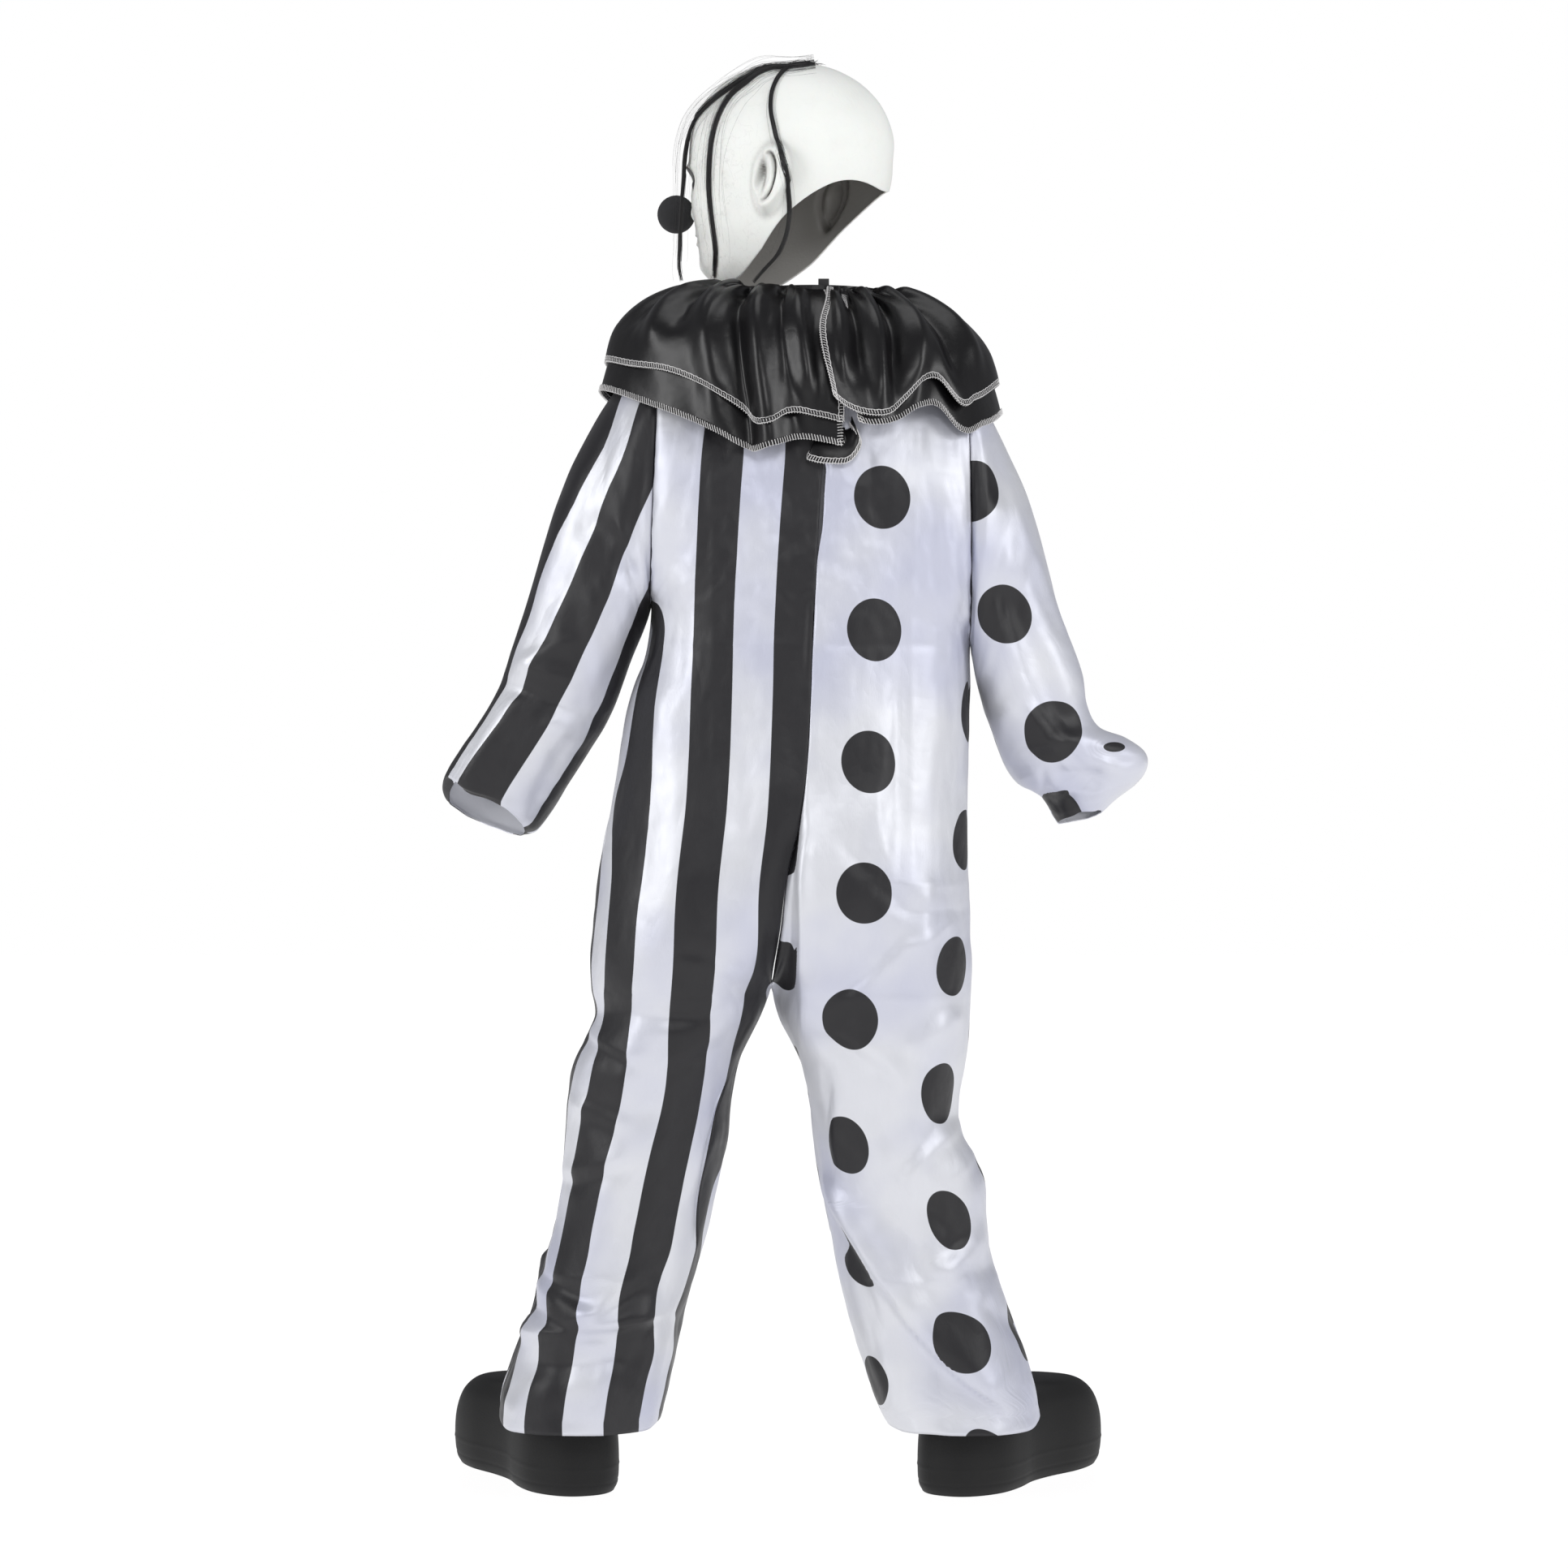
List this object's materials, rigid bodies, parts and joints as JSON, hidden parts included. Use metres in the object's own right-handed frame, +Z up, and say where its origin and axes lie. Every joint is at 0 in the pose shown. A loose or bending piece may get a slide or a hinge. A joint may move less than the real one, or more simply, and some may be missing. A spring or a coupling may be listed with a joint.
{
  "type": "clown costume with a head mask and shoes, held up by its wearer's shoulders",
  "caption": "Worn hollow clown costume: half striped, half dotted satin jumpsuit, layered ruffle collar, full head mask with thin hair, and big moulded shoes.",
  "frame": {"origin": "the middle of the neck opening, at the base of the neck, where the wearer's shoulders hold the costume up", "axes": "+Z up, -Y the way the costume faces, +X the wearer's left, the striped half; the shoes stand at the lowest Z"},
  "size_m": [0.804, 0.4555, 1.6227],
  "materials": {
    "striped_satin": "glossy satin, white with black stripes",
    "dotted_satin": "glossy satin, white with black dots",
    "black_satin": "glossy black satin, overlocked edges",
    "fastening_tape": "matte dark grey hook tape",
    "white_latex": "matte off-white latex",
    "black_foam": "matte foam",
    "black_hair": "thin synthetic hair",
    "moulded_black": "matte moulded black"
  },
  "bodies": {
    "root": {"back_left": "striped_satin", "front_left": "striped_satin", "sleeve_left": "striped_satin", "back_right": "dotted_satin", "front_right": "dotted_satin", "sleeve_right": "dotted_satin", "back_tape": "fastening_tape", "neck_band": "black_satin", "neck_tab": "black_satin", "ruffle_upper": "black_satin", "ruffle_lower": "black_satin", "mask": "white_latex", "mask_nose": "black_foam", "hair_1": "black_hair", "hair_2": "black_hair", "hair_3": "black_hair", "hair_4": "black_hair", "hair_5": "black_hair", "shoe_left": "moulded_black", "shoe_right": "moulded_black"}
  },
  "joints": []
}
